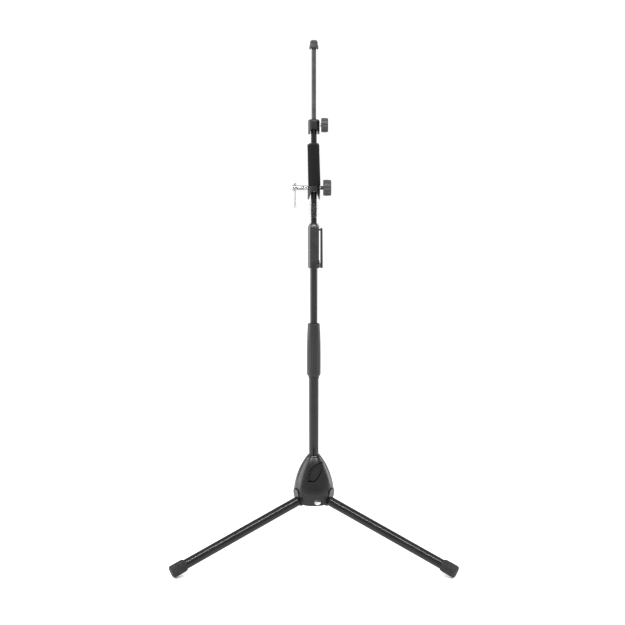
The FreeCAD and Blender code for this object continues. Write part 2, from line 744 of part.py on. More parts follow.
def trunnion_screws():
    """Front and back screws that the squeeze lever turns on."""
    screws = []
    face = grip_r + FACE_GAP + SQUEEZE_YOKE
    for side in (-1, 1):
        shank = cylinder(TRUNNION_R, V(0, side * middle_r, trunnion_z), V(0, side * (face + FACE_GAP), trunnion_z))
        under_head = V(0, side * (face + FACE_GAP / 2), trunnion_z)
        head_end = V(0, side * (face + FACE_GAP / 2 + TRUNNION_HEAD), trunnion_z)
        screw = join(shank, cylinder(TRUNNION_HEAD_R, under_head, head_end))
        slot_low = V(-TRUNNION_HEAD_R, side * (face + TRUNNION_HEAD - 0.4), trunnion_z - 0.6)
        slot_high = V(TRUNNION_HEAD_R, side * (face + TRUNNION_HEAD + 1), trunnion_z + 0.6)
        low = V(slot_low.x, min(slot_low.y, slot_high.y), slot_low.z)
        high = V(slot_high.x, max(slot_low.y, slot_high.y), slot_high.z)
        screws.append(screw.cut(box(low, high)))
    return group(screws)


def tilt_plate():
    """Steel clutch plate whose hole jams on the thin tube while it is tilted."""
    centre_z = body_z + PLATE_UP
    plate = pipe(plate_r(), thin_r + 0.35, centre_z, centre_z + PLATE_THICK)
    plate.rotate(V(0, 0, centre_z), Y_AXIS, -PLATE_TILT)
    return plate


def clutch_spring():
    """Coil spring that keeps the clutch plate tilted."""
    low = chamber_low() + SPRING_WIRE_R
    high = body_z + PLATE_UP - 1.8
    coil_r = thin_r + 1.9
    pitch = (high - low - 2 * SPRING_WIRE_R) / SPRING_TURNS
    helix = Part.makeHelix(pitch, pitch * SPRING_TURNS, coil_r)
    section = Part.Wire(Part.makeCircle(SPRING_WIRE_R, V(coil_r, 0, 0), Y_AXIS))
    spring = Part.Wire(helix).makePipeShell([section], True, True)
    spring.translate(V(0, 0, low))
    return spring


# ---------------------------------------------------------------- thin tube and what it carries
def thin_tube():
    """Upper tube, from its guide in the middle tube up to the rod collar."""
    return pipe(thin_r, thin_bore, thin_foot, collar_step)


def thin_guide():
    """Plug sleeve on the thin tube's foot that guides it in the middle tube."""
    head = pipe(middle_bore - RUN, thin_bore, thin_foot - 8, thin_foot)
    spigot = pipe(thin_bore, thin_bore - 1.2, thin_foot - 8, thin_foot + 10)
    return join(head, spigot)


def stop_sleeve():
    """Clear spacer sleeve with a thin web at each end that grips the tube."""
    wall = pipe(STOP_R, STOP_R - STOP_WALL, stop_z, stop_top)
    foot_web = pipe(STOP_R, thin_r, stop_z, stop_z + STOP_WEB)
    top_web = pipe(STOP_R, thin_r, stop_top - STOP_WEB, stop_top)
    return join(wall, foot_web, top_web)


def saddle(radius, skirt, solid_low, low, high, arch_halves, round_top):
    """Round clamp body whose thin lower skirt is cut by a flared arch from front to back."""
    body = turned(
        rz(0, low),
        rz(radius, low),
        rz(radius, high - round_top),
        (rz(radius - round_top * 0.29, high - round_top * 0.29), rz(radius - round_top, high)),
        rz(0, high),
    )
    body = body.cut(post(radius - skirt, low - 1, solid_low))
    arch_r, arch_foot = arch_halves
    arch_top = solid_low + 1.5
    arch_z = arch_top - arch_r
    arch = Part.Face(outline(
        V(-arch_foot, -radius - 1, low - 0.1),
        V(arch_foot, -radius - 1, low - 0.1),
        V(arch_r, -radius - 1, arch_z),
        (V(0, -radius - 1, arch_top), V(-arch_r, -radius - 1, arch_z)),
    )).extrude(V(0, 2 * radius + 2, 0))
    return body.cut(arch)


def clamp_liner():
    """Split plastic liner between the thin tube and the clamp."""
    low = clamp_top - CLAMP_RING + FACE_GAP
    liner = pipe(liner_r, thin_r + RUN, low, clamp_top - FACE_GAP)
    return liner.cut(box(V(-0.8, 0, low - 1), V(0.8, liner_r + 1, clamp_top)))


def clamp_body():
    """Instrument clamp: solid band round the tube, two thin cheeks below, and both screw holes."""
    body = saddle(CLAMP_R, CLAMP_SKIRT, clamp_top - CLAMP_RING, clamp_z, clamp_top, CLAMP_ARCH, 1.0)
    body = body.cut(post(liner_r + RUN, clamp_z - 1, clamp_top + 1))
    reach = V(CLAMP_R + 5, 0, 0)
    axis_point = V(0, 0, screw_z)
    body = body.cut(cylinder(STUD_R + RUN, axis_point - reach, axis_point + reach))
    seat = V(pad_seat(liner_r), 0, 0)
    return body.cut(cylinder(PAD_R + RUN, axis_point - seat, axis_point + seat))


def pad_seat(touch_r):
    """End of the counterbore that a pressure pad backs into."""
    return touch_r + RUN + PAD_THICK + PAD_TRAVEL + FACE_GAP


def knob_form(radius, length, hub_r, hub_length):
    """Round fluted knob on Z: barrel sides, dished outer face and a neck toward the clamp."""
    grip = turned(
        rz(0, 0),
        rz(radius - 1.6, 0),
        (rz(radius - 0.8, 0.5), rz(radius - 0.5, 1.6)),
        (rz(radius, length * 0.5), rz(radius - 0.7, length - 2.0)),
        (rz(radius - 1.2, length - 0.7), rz(radius - 2.6, length)),
        rz(radius - 5.0, length),
        rz(radius - 6.2, length - KNOB_DISH),
        rz(0, length - KNOB_DISH),
    )
    grip = round_about(grip, KNOB_FLUTES, radius + KNOB_FLUTE_R * 0.35, KNOB_FLUTE_R, -1, length + 1)
    return join(grip, post(hub_r, -hub_length, 0.5))


def knob_on(form, start_x, height, stud_r):
    """Knob laid along +X with a blind hole for its stud."""
    knob = along_x(form, height)
    knob.translate(V(start_x, 0, 0))
    return knob.cut(cylinder(stud_r, V(0, 0, height), V(start_x + 10, 0, height)))


def clamp_knob():
    """Large round knob on the right of the clamp, with its neck."""
    neck = CLAMP_KNOB_OUT - CLAMP_NECK_START
    form = knob_form(CLAMP_KNOB_R, CLAMP_KNOB_LENGTH, CLAMP_NECK_R, neck)
    return knob_on(form, CLAMP_KNOB_OUT, screw_z, STUD_R)


def clamp_stud():
    """Steel stud from the knob to its pressure pad."""
    start = liner_r + RUN + PAD_THICK
    return cylinder(STUD_R, V(start, 0, screw_z), V(CLAMP_KNOB_OUT + 10, 0, screw_z))


def pressure_pad(touch_r, height, side):
    """Round pad that bears on a tube or rod, ground to its curve."""
    start = V(0, 0, height)
    end = V(side * (touch_r + RUN + PAD_THICK), 0, height)
    return cylinder(PAD_R, start, end).cut(post(touch_r + RUN, height - 10, height + 10))


def clamp_screw():
    """Chromed clamp screw on the left: thread, thick plain shank and a cross-drilled head."""
    thread_start = -(liner_r + RUN + PAD_THICK)
    shank_start = -(CLAMP_R + FACE_GAP)
    head_end = -(CLAMP_SCREW_END + SCREW_HEAD)
    thread = cylinder(STUD_R, V(thread_start, 0, screw_z), V(shank_start - 1, 0, screw_z))
    shank = cylinder(CLAMP_SCREW_R, V(shank_start, 0, screw_z), V(-CLAMP_SCREW_END, 0, screw_z))
    waist = cylinder(CLAMP_SCREW_R - 1.2, V(-CLAMP_SCREW_END + 1.5, 0, screw_z), V(-CLAMP_SCREW_END, 0, screw_z))
    head = turned(
        rz(0, 0),
        rz(SCREW_HEAD_R - 1, 0),
        rz(SCREW_HEAD_R, 1),
        rz(SCREW_HEAD_R, SCREW_HEAD - 1.5),
        rz(SCREW_HEAD_R - 1.5, SCREW_HEAD),
        rz(0, SCREW_HEAD),
    )
    head = along_x(head, screw_z)
    head.translate(V(head_end, 0, 0))
    screw = join(thread, shank, waist, head)
    tommy_x = head_end + SCREW_HEAD / 2
    hole = cylinder(TOMMY_R + RUN, V(tommy_x, 0, screw_z - 10), V(tommy_x, 0, screw_z + 10))
    return screw.cut(hole)


def tommy_places():
    """Top and bottom ball centres of the tommy bar as it hangs."""
    tommy_x = -(CLAMP_SCREW_END + SCREW_HEAD / 2)
    top = screw_z + math.sqrt((SCREW_HEAD_R + TOMMY_BALL_R) ** 2) + 0.1
    return V(tommy_x, 0, top), V(tommy_x, 0, top - TOMMY_LENGTH)


def tommy_bar():
    """Sliding bar through the screw's head."""
    top, foot_end = tommy_places()
    return cylinder(TOMMY_R, foot_end, top)


def tommy_balls():
    """Ball ends pressed on the tommy bar."""
    bar = tommy_bar()
    return group([Part.makeSphere(TOMMY_BALL_R, centre).cut(bar) for centre in tommy_places()])


def foam_sleeve():
    """Foam grip over the thin tube, slightly fuller at its foot."""
    return turned(
        rz(thin_r, foam_z),
        rz(thin_r + FOAM_FOOT_WALL - 1.0, foam_z),
        (rz(thin_r + FOAM_FOOT_WALL - 0.3, foam_z + 0.3), rz(thin_r + FOAM_FOOT_WALL, foam_z + 1.0)),
        rz(thin_r + FOAM_TOP_WALL, foam_top - 1.0),
        (rz(thin_r + FOAM_TOP_WALL - 0.3, foam_top - 0.3), rz(thin_r + FOAM_TOP_WALL - 1.0, foam_top)),
        rz(thin_r, foam_top),
    )


def foam_ring():
    """Retaining ring on the tube over the foam."""
    return pipe(thin_r + FOAM_RING_WALL, thin_r, foam_top, foam_top + FOAM_RING)


def rod_collar():
    """Clamp collar fixed on the thin tube's end; the rod slides through its top."""
    solid_low = collar_top - COLLAR_SOLID
    body = saddle(COLLAR_R, COLLAR_SKIRT, solid_low, collar_z, collar_top, COLLAR_ARCH, COLLAR_ROUND)
    body = body.cut(post(thin_r, collar_z - 1, collar_step)).cut(post(ROD_R + RUN, collar_z, collar_top + 1))
    axis_point = V(0, 0, rod_screw_z)
    body = body.cut(cylinder(STUD_R + RUN, axis_point, axis_point + V(COLLAR_R + 5, 0, 0)))
    return body.cut(cylinder(PAD_R + RUN, axis_point, axis_point + V(pad_seat(ROD_R), 0, 0)))


# ---------------------------------------------------------------- rod and its clamp
def thin_tube_drilled():
    """Thin tube with the hole that lets the rod's pressure pad through."""
    hole = cylinder(PAD_R + RUN, V(0, 0, rod_screw_z), V(thin_r + 1, 0, rod_screw_z))
    return thin_tube().cut(hole)


def rod_knob():
    """Round knob on the right of the rod collar."""
    form = knob_form(ROD_KNOB_R, ROD_KNOB_LENGTH, STUD_R + 2.5, 0.8)
    return knob_on(form, ROD_KNOB_OUT, rod_screw_z, STUD_R)


def rod_stud():
    """Steel stud from the rod knob to its pressure pad."""
    start = ROD_R + RUN + PAD_THICK
    return cylinder(STUD_R, V(start, 0, rod_screw_z), V(ROD_KNOB_OUT + 10, 0, rod_screw_z))


def top_rod():
    """Solid top rod."""
    return post(ROD_R, rod_foot + ROD_GUIDE, cap_z + CAP_GRIP)


def rod_guide():
    """Bush on the rod's foot, running in the thin tube."""
    return post(thin_bore - RUN, rod_foot, rod_foot + ROD_GUIDE)


def rod_cap():
    """Rubber end cap: dome over a flared ring with an arched lower edge."""
    ring_top = cap_z + CAP_RING
    cap = turned(
        rz(0, cap_z),
        rz(CAP_RING_R, cap_z),
        (rz(CAP_RING_R - 0.2, cap_z + CAP_RING * 0.5), rz(CAP_RING_R - 1.4, ring_top)),
        rz(CAP_DOME_R + 0.3, ring_top + 1.0),
        rz(CAP_DOME_R, ring_top + 2.2),
        rz(CAP_DOME_R - 0.3, cap_top - 4.0),
        (rz(CAP_DOME_R - 1.9, cap_top - 1.2), rz(2.2, cap_top)),
        rz(0, cap_top),
    )
    cap = cap.cut(post(ROD_R + CAP_RECESS, cap_z - 1, cap_z + CAP_RING * 0.5))
    cap = cap.cut(post(ROD_R, cap_z - 1, cap_z + CAP_GRIP))
    arch_z = cap_z - CAP_ARCH_DROP
    arch = cylinder(CAP_ARCH_R, V(0, -CAP_RING_R - 1, arch_z), V(0, CAP_RING_R + 1, arch_z))
    return cap.cut(arch)


def build():
    """Every node by name."""
    nodes = {
        "hub_housing": hub_housing(),
        "hub_carrier": hub_carrier(),
        "hub_bolt": hub_bolt(),
        "tube_foot_plug": tube_foot_plug(),
        "leg_pins": group([turned_to(leg_pin(), azimuth) for azimuth in LEG_AZIMUTHS.values()]),
        "release_lever": release_lever(),
        "release_lever_pin": lever_pin_rod(LEVER_PIN_R),
        "lower_tube": lower_tube(),
        "clutch_seat_ring": seat_ring(),
        "clutch_bushing": clutch_bushing(),
        "clutch_collet": clutch_collet(),
        "twist_clutch": twist_clutch(),
        "middle_tube": middle_tube(),
        "middle_tube_guide": middle_guide(),
        "grip_body": grip_body(),
        "grip_cone": grip_cone(),
        "squeeze_lever": squeeze_lever(),
        "trunnion_screws": trunnion_screws(),
        "tilt_plate": tilt_plate(),
        "clutch_spring": clutch_spring(),
        "thin_tube": thin_tube_drilled(),
        "thin_tube_guide": thin_guide(),
        "stop_sleeve": stop_sleeve(),
        "clamp_liner": clamp_liner(),
        "clamp_body": clamp_body(),
        "clamp_knob": clamp_knob(),
        "clamp_knob_stud": clamp_stud(),
        "clamp_knob_pad": pressure_pad(liner_r, screw_z, 1),
        "clamp_screw": clamp_screw(),
        "clamp_screw_pad": pressure_pad(liner_r, screw_z, -1),
        "tommy_bar": tommy_bar(),
        "tommy_bar_balls": tommy_balls(),
        "foam_sleeve": foam_sleeve(),
        "foam_ring": foam_ring(),
        "rod_collar": rod_collar(),
        "rod_knob": rod_knob(),
        "rod_knob_stud": rod_stud(),
        "rod_knob_pad": pressure_pad(ROD_R, rod_screw_z, 1),
        "top_rod": top_rod(),
        "rod_guide": rod_guide(),
        "rod_cap": rod_cap(),
    }
    pieces = {"leg": leg_tube(), "knuckle": knuckle(), "foot": foot(), "leg_screw": leg_screw()}
    for side, azimuth in LEG_AZIMUTHS.items():
        for piece, shape in pieces.items():
            nodes[piece + "_" + side] = turned_to(shape, azimuth)
    return nodes


def footprint_shift(nodes):
    """Move that puts the middle of the whole stand's box on the origin, standing on the floor."""
    whole = Part.makeCompound(list(nodes.values())).optimalBoundingBox(False, False)
    return V(-(whole.XMin + whole.XMax) / 2, -(whole.YMin + whole.YMax) / 2, -whole.ZMin)


def main():
    """Build every node, stand the model on its origin and write one STEP file per node."""
    nodes = build()
    shift = footprint_shift(nodes)
    os.makedirs("parts", exist_ok=True)
    for name, shape in nodes.items():
        shape.translate(shift)
        shape.exportStep("parts/" + name + ".step")
    return nodes, shift


if __name__ == "__main__":
    main()
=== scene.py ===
"""Folding instrument stand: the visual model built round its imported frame.

Every size below is in metres and every place comes from the frame.  New pieces are surfaces of
two parameters: an angle round an axis, and the way along a profile.
"""
import json
import math

import bpy
import numpy as np
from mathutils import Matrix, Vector


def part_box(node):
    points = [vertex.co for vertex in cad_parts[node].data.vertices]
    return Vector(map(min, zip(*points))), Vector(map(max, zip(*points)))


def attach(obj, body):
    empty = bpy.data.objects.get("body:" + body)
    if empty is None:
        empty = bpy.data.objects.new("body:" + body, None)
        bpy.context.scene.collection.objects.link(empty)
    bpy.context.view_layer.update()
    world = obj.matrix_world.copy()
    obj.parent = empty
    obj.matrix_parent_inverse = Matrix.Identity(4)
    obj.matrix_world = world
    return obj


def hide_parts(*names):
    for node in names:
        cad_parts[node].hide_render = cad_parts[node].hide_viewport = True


bl_info = {
    "name": "Instrument Stand",
    "version": (1, 0, 0),
    "blender": (4, 5, 0),
    "location": "View3D > Sidebar > Stand",
    "description": "Builds the finishes and detailed pieces of a folding instrument stand",
    "category": "Object",
}

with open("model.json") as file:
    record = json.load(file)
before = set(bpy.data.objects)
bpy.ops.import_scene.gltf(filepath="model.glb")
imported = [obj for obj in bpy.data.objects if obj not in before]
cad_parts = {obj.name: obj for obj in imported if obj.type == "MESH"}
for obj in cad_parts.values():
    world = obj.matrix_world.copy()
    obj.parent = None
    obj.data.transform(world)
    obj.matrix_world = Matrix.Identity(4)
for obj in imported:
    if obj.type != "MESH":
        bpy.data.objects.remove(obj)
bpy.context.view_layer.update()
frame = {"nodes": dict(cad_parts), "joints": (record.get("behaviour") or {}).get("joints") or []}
LEG_SIDES = ("left", "right", "rear")
MM = 0.001
MOST_OF_SIDE = 0.49     # share of a profile's side that one rounded corner may take
ON_AXIS = 1e-7          # a smaller radius counts as a pole
FOAM_SEGMENTS = 220
SLEEVE_SEGMENTS = 400
KNOB_SEGMENTS = 336
FOOT_SEGMENTS = 96
CAP_SEGMENTS = 120
FOAM_WAVES = 160        # waves summed in the foam's skin
FOAM_SEED = 7


# ---------------------------------------------------------------- places taken from the frame
def box_middle(node):
    """Middle of a CAD node's box."""
    low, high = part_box(node)
    return (low + high) / 2


def half_width(node):
    """Half of a round upright node's width."""
    low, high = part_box(node)
    return (high.x - low.x) / 2


def pole_xy():
    """Where the pole's axis stands."""
    middle = box_middle("lower_tube")
    return np.array([middle.x, middle.y])


def joint_named(name):
    """A joint's record from the frame."""
    return next(joint for joint in frame["joints"] if joint["name"] == name)


# ---------------------------------------------------------------- profiles and turned surfaces
def rounded(points, radii, steps=6):
    """Profile with each corner rounded.

    The line leaves a side at the corner's reach before it and joins the next side as far after it, but
    never past the middle of either, along a quadratic curve whose middle control point is the corner.
    """
    points = np.asarray(points, float)
    out = [points[:1]]
    weights = np.linspace(0, 1, steps)[:, None]
    for before, corner, after, radius in zip(points[:-2], points[1:-1], points[2:], radii):
        if radius <= 0:
            out.append(corner[None])
            continue
        reach_in = min(radius, np.linalg.norm(corner - before) * MOST_OF_SIDE)
        reach_out = min(radius, np.linalg.norm(after - corner) * MOST_OF_SIDE)
        start = corner + (before - corner) / np.linalg.norm(before - corner) * reach_in
        end = corner + (after - corner) / np.linalg.norm(after - corner) * reach_out
        curve = (1 - weights) ** 2 * start + 2 * weights * (1 - weights) * corner + weights ** 2 * end
        out.append(curve)
    out.append(points[-1:])
    return np.vstack(out)


def resampled(profile, spacing):
    """Profile with points added so that none are further apart than the spacing."""
    pieces = [profile[:1]]
    for start, end in zip(profile[:-1], profile[1:]):
        count = max(1, math.ceil(np.linalg.norm(end - start) / spacing))
        weights = np.linspace(0, 1, count + 1)[1:, None]
        pieces.append(start + (end - start) * weights)
    return np.vstack(pieces)


def turned(name, profile, segments, origin, axis, ripple=None, loop=False):
    """Surface of revolution with an optional ripple.

    Point (angle a, place s) = origin + axis * along(s) + (radius(s) + ripple(a, s)) * (u cos a + v sin a),
    where u, v and the axis are square to each other.  A profile end of radius 0 becomes one pole, and a
    loop profile closes on itself as a ring does.  ripple returns offsets of radius and of height.
    """
    axis = np.asarray(axis, float) / np.linalg.norm(axis)
    side = np.array([1.0, 0, 0]) if abs(axis[2]) > 0.9 else np.array([0, 0, 1.0])
    u = side - axis * side.dot(axis)
    u /= np.linalg.norm(u)
    v = np.cross(axis, u)
    angles = np.linspace(0, 2 * np.pi, segments, endpoint=False)
    radius = np.repeat(profile[:, :1], segments, axis=1)
    height = np.repeat(profile[:, 1:], segments, axis=1)
    if ripple is not None:
        extra_radius, extra_height = ripple(angles[None, :], profile[:, :1], profile[:, 1:])
        radius = np.where(radius > ON_AXIS, radius + extra_radius, radius)
        height = height + extra_height
    rim = np.cos(angles)[:, None] * u + np.sin(angles)[:, None] * v
    points = np.asarray(origin, float) + height[..., None] * axis + radius[..., None] * rim[None]
    return grid_mesh(name, points, profile[:, 0] < ON_AXIS, loop)


def grid_mesh(name, points, poles, loop):
    """Mesh of a grid that is closed across its columns, with poles or a closed loop along its rows."""
    rows, columns = points.shape[:2]
    index = np.arange(rows * columns).reshape(rows, columns)
    for row in np.flatnonzero(poles):
        index[row] = index[row, 0]
    nearer = index if loop else index[:-1]
    further = np.roll(index, -1, axis=0) if loop else index[1:]
    quads = np.stack([nearer, np.roll(nearer, -1, 1), np.roll(further, -1, 1), further], axis=-1).reshape(-1, 4)
    return mesh_piece(name, points.reshape(-1, 3), quads)


def mesh_piece(name, points, quads):
    """Object at the origin from points and four-sided faces; a face with a repeated corner has three."""
    used, compact = np.unique(quads, return_inverse=True)
    quads = compact.reshape(quads.shape)
    faces = []
    for face in quads.tolist():
        corners = list(dict.fromkeys(face))
        if len(corners) > 2:
            faces.append(corners)
    mesh = bpy.data.meshes.new(name)
    mesh.from_pydata(points[used].tolist(), [], faces)
    mesh.validate()
    mesh.polygons.foreach_set("use_smooth", np.ones(len(mesh.polygons), bool))
    piece = bpy.data.objects.new(name, mesh)
    bpy.context.scene.collection.objects.link(piece)
    return piece


def fitted(piece, body, material, replaces=()):
    """Hangs a finished piece on its body, its material and the node it stands for."""
    piece.data.materials.append(material)
    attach(piece, body)
    if replaces:
        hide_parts(*replaces)
    return piece


def coat_nodes(material, *nodes):
    """Gives CAD nodes a finish."""
    for node in nodes:
        data = frame["nodes"][node].data
        data.materials.clear()
        data.materials.append(material)


# ---------------------------------------------------------------- finishes
class Finish:
    """Node tree of one finish, built up from Object coordinates."""

    def __init__(self, name, roughness, metallic=0.0, ior=1.5, specular=0.5):
        self.material = bpy.data.materials.new(name)
        self.material.use_nodes = True
        self.tree = self.material.node_tree
        self.shader = self.tree.nodes["Principled BSDF"]
        self.shader.inputs["Roughness"].default_value = roughness
        self.shader.inputs["Metallic"].default_value = metallic
        self.shader.inputs["IOR"].default_value = ior
        self.shader.inputs["Specular IOR Level"].default_value = specular
        self.coords = self.tree.nodes.new("ShaderNodeTexCoord")
        self.bump = None

    def node(self, kind):
        """New node of a kind."""
        return self.tree.nodes.new(kind)

    def link(self, start, end):
        """Joins two sockets."""
        self.tree.links.new(start, end)

    def place(self, scale=(1, 1, 1)):
        """Object coordinates stretched by a scale."""
        mapping = self.node("ShaderNodeMapping")
        mapping.inputs["Scale"].default_value = scale
        self.link(self.coords.outputs["Object"], mapping.inputs["Vector"])
        return mapping.outputs["Vector"]

    def noise(self, scale, detail=3.0, stretch=(1, 1, 1), rough=0.55):
        """Noise value over the surface."""
        texture = self.node("ShaderNodeTexNoise")
        texture.inputs["Scale"].default_value = scale
        texture.inputs["Detail"].default_value = detail
        texture.inputs["Roughness"].default_value = rough
        self.link(self.place(stretch), texture.inputs["Vector"])
        return texture.outputs["Fac"]

    def cells(self, scale):
        """Distance to the nearest of many scattered points."""
        texture = self.node("ShaderNodeTexVoronoi")
        texture.inputs["Scale"].default_value = scale
        self.link(self.place(), texture.inputs["Vector"])
        return texture.outputs["Distance"]

    def ranged(self, value, low, high, start, end):
        """Value from low to high turned into start to end."""
        mapped = self.node("ShaderNodeMapRange")
        for key, number in (("From Min", low), ("From Max", high), ("To Min", start), ("To Max", end)):
            mapped.inputs[key].default_value = number
        self.link(value, mapped.inputs["Value"])
        return mapped.outputs["Result"]

    def colour(self, dark, light, value, low=0.35, high=0.65):
        """Base colour between two tones by a value."""
        ramp = self.node("ShaderNodeValToRGB")
        ramp.color_ramp.elements[0].position = low
        ramp.color_ramp.elements[1].position = high
        ramp.color_ramp.elements[0].color = (*dark, 1)
        ramp.color_ramp.elements[1].color = (*light, 1)
        self.link(value, ramp.inputs["Fac"])
        self.link(ramp.outputs["Color"], self.shader.inputs["Base Color"])

    def roughness(self, value, start, end, low=0.35, high=0.65):
        """Roughness between two values."""
        self.link(self.ranged(value, low, high, start, end), self.shader.inputs["Roughness"])

    def relief(self, value, depth, strength=1.0):
        """Adds a bump of a depth in metres."""
        made = self.node("ShaderNodeBump")
        made.inputs["Strength"].default_value = strength
        made.inputs["Distance"].default_value = depth
        self.link(value, made.inputs["Height"])
        if self.bump is not None:
            self.link(self.bump.outputs["Normal"], made.inputs["Normal"])
        self.bump = made
        self.link(made.outputs["Normal"], self.shader.inputs["Normal"])


def grey(value, warm=0.0):
    """Neutral tone, a little warm or cool."""
    return (value * (1 + warm), value, value * (1 - warm))


def satin_enamel(name, tone):
    """Satin black powder coat: fine orange peel, a few faint rub marks along the tube."""
    finish = Finish(name, 0.4, specular=0.3)
    finish.colour(grey(tone * 0.75), grey(tone * 1.3), finish.noise(60, 4))
    finish.roughness(finish.noise(35, 5, stretch=(1, 1, 0.15)), 0.33, 0.5)
    finish.relief(finish.noise(1500, 2), 0.00006, 0.5)
    finish.relief(finish.noise(350, 3), 0.00008, 0.35)
    return finish.material


def gloss_enamel():
    """Gloss black enamel: smooth with slight waviness and hairline scuffs."""
    finish = Finish("gloss_enamel", 0.16, specular=0.22)
    tone = bpy.context.scene.stand_colours.gloss
    finish.colour(grey(tone * 0.8), grey(tone * 1.4), finish.noise(40, 3))
    finish.roughness(finish.noise(220, 6, stretch=(1, 1, 0.08)), 0.06, 0.1, 0.42, 0.72)
    finish.relief(finish.noise(260, 2), 0.000012, 0.2)
    finish.relief(finish.noise(2600, 4, stretch=(1, 1, 0.04)), 0.000004, 0.2)
    return finish.material


def moulded_gloss(name, tone, specular):
    """Glossy moulded plastic: faint flow marks and fine swirl scratches."""
    finish = Finish(name, 0.2, ior=1.49, specular=specular)
    finish.colour(grey(tone * 0.85), grey(tone * 1.35), finish.noise(30, 4))
    finish.roughness(finish.noise(90, 6), 0.15, 0.3)
    finish.relief(finish.noise(120, 2), 0.0001, 0.2)
    finish.relief(finish.noise(3000, 3), 0.00001, 0.25)
    return finish.material


def textured_plastic(name, tone, low=0.48, high=0.68):
    """Matt moulded plastic with an etched grain."""
    finish = Finish(name, 0.55, ior=1.48, specular=0.35)
    finish.colour(grey(tone * 0.8), grey(tone * 1.25), finish.noise(500, 4))
    finish.roughness(finish.noise(260, 3), low, high)
    finish.relief(finish.noise(1900, 3), 0.00012, 0.6)
    finish.relief(finish.cells(900), 0.00008, 0.4)
    return finish.material


def moulded_rubber(name, tone):
    """Moulded rubber: dusty bloom, fine grain, scuffs."""
    finish = Finish(name, 0.75, ior=1.46, specular=0.3)
    finish.colour(grey(tone * 0.7), grey(tone * 1.8), finish.noise(140, 6), 0.4, 0.75)
    finish.roughness(finish.noise(200, 4), 0.62, 0.85)
    finish.relief(finish.noise(1400, 4), 0.00012, 0.7)
    return finish.material


def foam_skin():
    """Closed-cell foam: near black, painted sheen on the raised cell edges, painted shade in the cell pits, fine
    pits.
    """
    finish = Finish("foam_skin", 0.92, ior=1.35, specular=0.1)
    tone = bpy.context.scene.stand_colours.foam
    cells = finish.cells(1100)
    # painted sheen and shade: the base colour is lighter towards the cell edges, which the bump raises, and darker at
    # the cell middles, which it sinks into pits
    finish.colour(grey(tone * 0.5), grey(tone * 1.9), cells, 0.1, 0.6)
    finish.roughness(finish.noise(300, 3), 0.85, 0.98)
    finish.relief(cells, 0.0003, 0.8)
    finish.relief(finish.noise(2400, 4), 0.0001, 0.6)
    return finish.material


def bright_chrome():
    """Polished chrome with faint smears and hairlines."""
    finish = Finish("bright_chrome", 0.07, metallic=1.0)
    finish.colour((0.16, 0.16, 0.17), (0.45, 0.45, 0.45), finish.noise(170, 4, stretch=(0.4, 1, 1)), 0.38, 0.62)
    finish.roughness(finish.noise(160, 6), 0.04, 0.16)
    finish.relief(finish.noise(4200, 3, stretch=(0.1, 1, 1)), 0.000008, 0.3)
    return finish.material


def plated_steel():
    """Zinc-plated steel: grey with a soft crystalline mottle."""
    finish = Finish("plated_steel", 0.35, metallic=1.0)
    finish.colour((0.38, 0.38, 0.37), (0.62, 0.62, 0.6), finish.noise(700, 5))
    finish.roughness(finish.noise(500, 4), 0.26, 0.48)
    finish.relief(finish.noise(2200, 3), 0.00003, 0.4)
    return finish.material


def cast_metal():
    """Die-cast alloy under dark paint, slightly pebbled."""
    finish = Finish("cast_metal", 0.5, metallic=0.4)
    finish.colour(grey(0.05), grey(0.12), finish.noise(300, 5))
    finish.roughness(finish.noise(260, 4), 0.42, 0.62)
    finish.relief(finish.noise(900, 3), 0.00015, 0.6)
    return finish.material


def natural_nylon():
    """Off-white moulded nylon."""
    finish = Finish("natural_nylon", 0.5, ior=1.53)
    finish.colour((0.32, 0.31, 0.28), (0.42, 0.41, 0.37), finish.noise(200, 4))
    finish.roughness(finish.noise(300, 3), 0.42, 0.58)
    finish.relief(finish.noise(1200, 2), 0.00005, 0.4)
    return finish.material


def clear_plastic():
    """Clear moulded plastic with faint haze."""
    finish = Finish("clear_plastic", 0.03, ior=1.35)
    finish.colour((0.78, 0.79, 0.79), (0.86, 0.86, 0.86), finish.noise(120, 3))
    finish.roughness(finish.noise(240, 4), 0.02, 0.08)
    finish.relief(finish.noise(200, 2), 0.000008, 0.1)
    finish.shader.inputs["Transmission Weight"].default_value = 1.0
    return finish.material


# ---------------------------------------------------------------- settings
class StandColours(bpy.types.PropertyGroup):
    """Tones of the stand's finishes, as linear reflectances."""
    tube: bpy.props.FloatProperty(
        name="Tubes", description="Tone of the satin tubes", default=0.005, min=0, max=1)
    rod: bpy.props.FloatProperty(
        name="Top rod", description="Tone of the top rod", default=0.028, min=0, max=1)
    gloss: bpy.props.FloatProperty(
        name="Gloss enamel", description="Tone of the legs and the thin tube", default=0.005, min=0, max=1)
    hub: bpy.props.FloatProperty(
        name="Hub", description="Tone of the hub and the leg roots", default=0.005, min=0, max=1)
    grip: bpy.props.FloatProperty(
        name="Grip", description="Tone of the one-hand grip and the levers", default=0.01, min=0, max=1)
    clutch: bpy.props.FloatProperty(
        name="Twist clutch", description="Tone of the matt clutch sleeve", default=0.007, min=0, max=1)
    knob: bpy.props.FloatProperty(
        name="Knobs", description="Tone of the knobs", default=0.02, min=0, max=1)
    foam: bpy.props.FloatProperty(
        name="Foam", description="Tone of the foam sleeve", default=0.005, min=0, max=1)
    rubber: bpy.props.FloatProperty(
        name="Rubber feet", description="Tone of the rubber feet", default=0.009, min=0, max=1)
    floor: bpy.props.FloatProperty(
        name="Floor", description="Tone of the studio floor", default=0.93, min=0, max=1)


